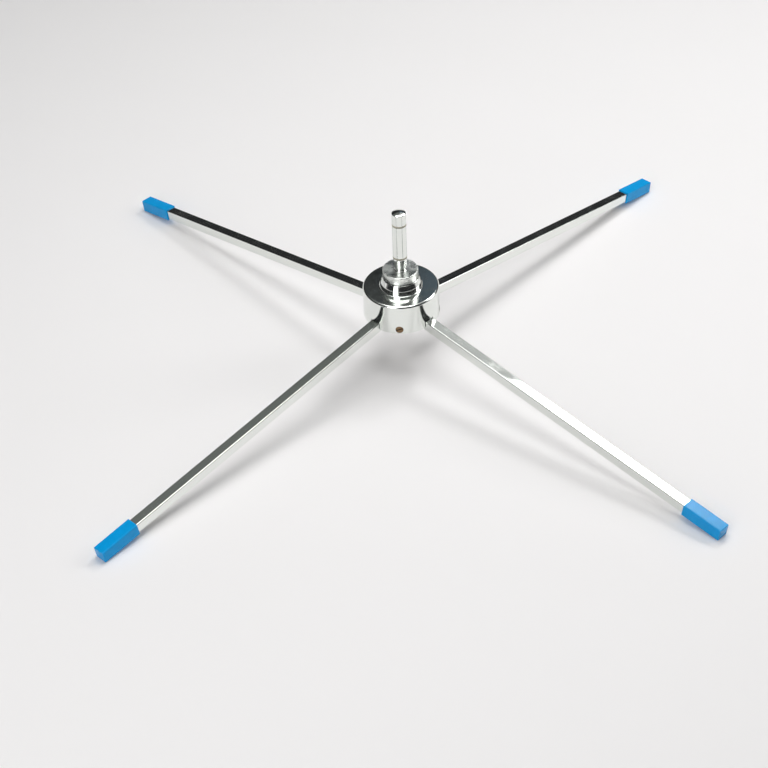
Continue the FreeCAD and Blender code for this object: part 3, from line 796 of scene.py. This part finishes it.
class CROSSBASE_OT_leg_tubes(Operator):
    """Draw one square tube with its hinge bore, and place four of them"""
    bl_idname = "cross_base.leg_tubes"
    bl_label = "Leg tubes"

    def execute(self, context):
        sizes = context.scene.cross_base_legs
        hinge_x = pivot_radius / math.cos(sizes.slope)
        start = hinge_x - sizes.tail
        end = sizes.length - context.scene.cross_base_caps.end
        half = sizes.side / 2
        master = block("leg_tube", (start, -half, -half), (end, half, half))
        edit(master)
        select(master, "faces", lambda face: abs(face.normal.x) > 0.9)
        bpy.ops.mesh.delete(type="ONLY_FACE")
        select(master, "edges", lambda edge: span(edge) > half)
        bpy.ops.mesh.bevel(offset=sizes.corner, segments=5)
        bpy.ops.mesh.select_all(action="SELECT")
        bpy.ops.mesh.normals_make_consistent(inside=False)
        done()
        apply(master, "SOLIDIFY", thickness=sizes.wall, offset=-1.0, use_even_offset=True)
        cut(master, add(
            bpy.ops.mesh.primitive_cylinder_add, "hinge_cutter", vertices=BORE_STEPS,
            radius=sizes.bore / 2, depth=2 * sizes.side, location=(hinge_x, 0, 0),
            rotation=(math.pi / 2, 0, 0)))
        polish(master)
        for place, degrees in LEG_ANGLES.items():
            placement = on_leg(sizes, degrees)
            piece = copy_of(master, "leg_tube_%s_drawn" % place)
            put(piece, placement)
            finish = chrome_plate(
                "Bright chrome, drawn tube " + place.replace("_", " "),
                context.scene.cross_base_finishes, (0.03, 0.19), placement, (0.35, 1.0, 1.0))
            dress(piece, finish, "chrome_plate", "leg_" + place, "leg_tube_" + place)
        bpy.data.meshes.remove(master.data)
        return {"FINISHED"}


class CROSSBASE_OT_foot_caps(Operator):
    """Mould one foot cap, and push four of them over the tubes"""
    bl_idname = "cross_base.foot_caps"
    bl_label = "Foot caps"

    def execute(self, context):
        sizes = context.scene.cross_base_caps
        legs = context.scene.cross_base_legs
        finish = moulded_plastic("Moulded blue plastic", context.scene.cross_base_finishes)
        start, end = legs.length - sizes.length, legs.length
        half = legs.side / 2 + sizes.fit + sizes.wall
        master = block("foot_cap", (start, -half, -half), (end, half, half))
        edit(master)
        select(master, "edges", lambda edge: span(edge) > half)
        bpy.ops.mesh.bevel(offset=sizes.corner, segments=6)
        select(master, "edges", lambda edge: all(vert.co.x > end - TINY for vert in edge.verts))
        bpy.ops.mesh.bevel(offset=sizes.end_round, segments=5)
        select(master, "faces", lambda face: face.normal.x < -0.9)
        bpy.ops.mesh.inset(thickness=sizes.wall)
        bpy.ops.mesh.extrude_region()
        bpy.ops.transform.translate(value=(sizes.length - sizes.end, 0, 0))
        reach = half - sizes.wall / 2
        select(master, "edges", lambda edge: all(
            vert.co.x < start + TINY and max(abs(vert.co.y), abs(vert.co.z)) > reach
            for vert in edge.verts))
        bpy.ops.mesh.bevel(offset=sizes.lip, segments=3)
        done()
        polish(master)
        for place, degrees in LEG_ANGLES.items():
            piece = copy_of(master, "foot_cap_%s_moulded" % place)
            put(piece, on_leg(legs, degrees))
            dress(piece, finish, "blue_plastic", "leg_" + place, "foot_cap_" + place)
        bpy.data.meshes.remove(master.data)
        return {"FINISHED"}


class CROSSBASE_OT_inner_pieces(Operator):
    """Give the pieces inside the hub, which keep their own shapes, their real finishes"""
    bl_idname = "cross_base.inner_pieces"
    bl_label = "Inner pieces"

    def execute(self, context):
        colours = context.scene.cross_base_finishes
        cast = bare_metal("Die-cast alloy, as cast", colours.cast_alloy, 0.42, 0.62, 2.2, 0.00015)
        rolled = bare_metal("Rolled steel, pressed", colours.steel, 0.3, 0.48, 2.5, 0.00006)
        ground = bare_metal("Ground bearing steel", colours.bearing_steel, 0.12, 0.24, 1.2, 0.00002)
        passivated = bare_metal(
            "Yellow passivated zinc, plate screws", colours.passivate, 0.28, 0.5, 1.5, 0.00004)
        finishes = {
            "leg_carrier": cast, "pin_plate": rolled, "plate_screws": passivated,
            "inner_spacer": rolled, "outer_spacer": rolled, "spindle_washer": rolled,
            "spindle_nut": rolled,
        }
        for place in LEG_ANGLES:
            finishes["hinge_pin_" + place] = ground
        for level in ("lower", "upper"):
            for name in ("outer", "inner", "balls"):
                finishes["%s_bearing_%s" % (level, name)] = ground
        for node, finish in finishes.items():
            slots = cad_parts[node].material_slots
            if not slots:
                raise RuntimeError(node + " has no material slot")
            for slot in slots:
                slot.material = finish
        return {"FINISHED"}


class CROSSBASE_OT_stage(Operator):
    """Lay the pale floor, hang the soft lights and set the camera"""
    bl_idname = "cross_base.stage"
    bl_label = "Stage"

    def execute(self, context):
        stage = context.scene.cross_base_stage
        colours = context.scene.cross_base_finishes
        self.lay_floor(stage, colours)
        self.light_room(colours)
        for light in LIGHTS:
            self.hang(*light)
        self.set_camera(context, stage)
        return {"FINISHED"}

    def lay_floor(self, stage, colours):
        """A round sheet that fades into the backdrop at its edge."""
        piece = add(
            bpy.ops.mesh.primitive_circle_add, "floor_sheet", vertices=FLOOR_STEPS,
            radius=stage.floor_radius, fill_type="NGON")
        material, tree, shader, place = new_material("Matt pale card")
        distance = add_node(
            tree, "ShaderNodeVectorMath", {"operation": "LENGTH"}, {0: place}).outputs["Value"]
        fade_start, fade_end = 0.34 * stage.floor_radius, 0.76 * stage.floor_radius
        plug(tree, shader, {
            "Base Color": opaque(colours.floor), "Roughness": 0.9, "Specular IOR Level": 0.1,
            "Alpha": ramp(tree, distance, fade_start, fade_end, 1.0, 0.0),
        })
        piece.data.materials.append(material)

    def light_room(self, colours):
        """A pale backdrop up to a low height all round, and a dim room above it."""
        world = bpy.data.worlds.new("Studio room")
        bpy.context.scene.world = world
        world.use_nodes = True
        tree = world.node_tree
        direction = add_node(tree, "ShaderNodeTexCoord").outputs["Generated"]
        height = add_node(
            tree, "ShaderNodeSeparateXYZ", inputs={"Vector": direction}).outputs["Z"]
        # the upper part starts at about 38 degrees of height and is full at about 50
        edge_noise = 0.35
        clutter = add_node(tree, "ShaderNodeTexNoise", inputs={
            "Vector": direction, "Scale": 3.0, "Detail": 2.0,
        }).outputs["Fac"]
        uneven = add_node(tree, "ShaderNodeMath", {"operation": "MULTIPLY_ADD"}, {
            0: clutter, 1: edge_noise, 2: height}).outputs["Value"]
        start, full = (math.sin(math.radians(at)) + edge_noise / 2 for at in (38, 50))
        upper = ramp(tree, uneven, start, full)
        room = mix(tree, upper, opaque(colours.room), opaque(colours.ceiling))
        # the patch of far wall fades out from 3 to 10 degrees round its middle
        patch = self.along(tree, direction, towards(11, 36))
        near = ramp(tree, patch, math.cos(math.radians(10)), math.cos(math.radians(3)))
        wall = mix(tree, near, room, opaque(colours.far_wall))
        # the backdrop stands higher behind the base than in front of it
        level = self.along(tree, direction, (0.0, -0.195, 1.0))
        above = ramp(tree, level, 0.01, 0.07)
        shade = mix(tree, above, opaque(colours.floor), wall)
        plug(tree, tree.nodes["Background"], {"Color": shade})

    def along(self, tree, direction, axis):
        """How far a direction goes along an axis."""
        return add_node(tree, "ShaderNodeVectorMath", {"operation": "DOT_PRODUCT"}, {
            0: direction, 1: axis}).outputs["Value"]

    def hang(self, name, turn, height, distance, size, brightness):
        """A rectangular soft light, seen in mirrors but not by the camera, facing the hub."""
        way = towards(turn, height)
        bpy.ops.object.select_all(action="DESELECT")
        bpy.ops.object.light_add(
            type="AREA", location=way * distance, rotation=way.to_track_quat("Z", "Y").to_euler())
        lamp = bpy.context.object
        lamp.name = name
        lamp.visible_camera = False
        lamp.data.shape = "RECTANGLE"
        lamp.data.size, lamp.data.size_y = size
        lamp.data.energy = brightness * math.pi * size[0] * size[1]

    def set_camera(self, context, stage):
        turn = (Matrix.Rotation(stage.view_turn, 4, "Z")
                @ Matrix.Rotation(math.pi / 2 - stage.view_height, 4, "X")
                @ Matrix.Rotation(stage.view_roll, 4, "Z"))
        bpy.ops.object.select_all(action="DESELECT")
        bpy.ops.object.camera_add()
        camera = context.object
        back = Matrix.Translation((0, 0, stage.view_distance))
        camera.matrix_world = Matrix.Translation(stage.view_aim) @ turn @ back
        camera.data.lens = stage.lens
        camera.data.sensor_width = 36.0
        context.scene.camera = camera
        context.scene.view_settings.view_transform = "Standard"


PIECES = (
    CROSSBASE_OT_hub_shell, CROSSBASE_OT_hub_screws, CROSSBASE_OT_spindle, CROSSBASE_OT_rings,
    CROSSBASE_OT_leg_tubes, CROSSBASE_OT_foot_caps, CROSSBASE_OT_inner_pieces,
    CROSSBASE_OT_stage,
)
SETTINGS = {
    "cross_base_hub": HubSizes, "cross_base_screw": ScrewSizes, "cross_base_legs": LegSizes,
    "cross_base_caps": CapSizes, "cross_base_spindle": SpindleSizes,
    "cross_base_finishes": Finishes, "cross_base_stage": StageSizes,
}


class CROSSBASE_PT_pieces(Panel):
    """The base's sizes and colours, and a button for each piece"""
    bl_idname = "CROSSBASE_PT_pieces"
    bl_label = "Cross base"
    bl_space_type = "VIEW_3D"
    bl_region_type = "UI"
    bl_category = "Cross base"

    def draw(self, context):
        for operator in PIECES:
            self.layout.operator(operator.bl_idname)
        for name, group in SETTINGS.items():
            settings = getattr(context.scene, name)
            box = self.layout.box()
            for field in group.__annotations__:
                box.prop(settings, field)


def register():
    for group in SETTINGS.values():
        bpy.utils.register_class(group)
    for name, group in SETTINGS.items():
        setattr(bpy.types.Scene, name, PointerProperty(type=group))
    for operator in PIECES:
        bpy.utils.register_class(operator)
    bpy.utils.register_class(CROSSBASE_PT_pieces)


def unregister():
    bpy.utils.unregister_class(CROSSBASE_PT_pieces)
    for operator in reversed(PIECES):
        bpy.utils.unregister_class(operator)
    for name, group in SETTINGS.items():
        delattr(bpy.types.Scene, name)
        bpy.utils.unregister_class(group)


def main():
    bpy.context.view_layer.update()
    register()
    bpy.ops.cross_base.hub_shell()
    bpy.ops.cross_base.hub_screws()
    bpy.ops.cross_base.spindle()
    bpy.ops.cross_base.rings()
    bpy.ops.cross_base.leg_tubes()
    bpy.ops.cross_base.foot_caps()
    bpy.ops.cross_base.inner_pieces()
    bpy.ops.cross_base.stage()


if __name__ == "__main__":
    main()
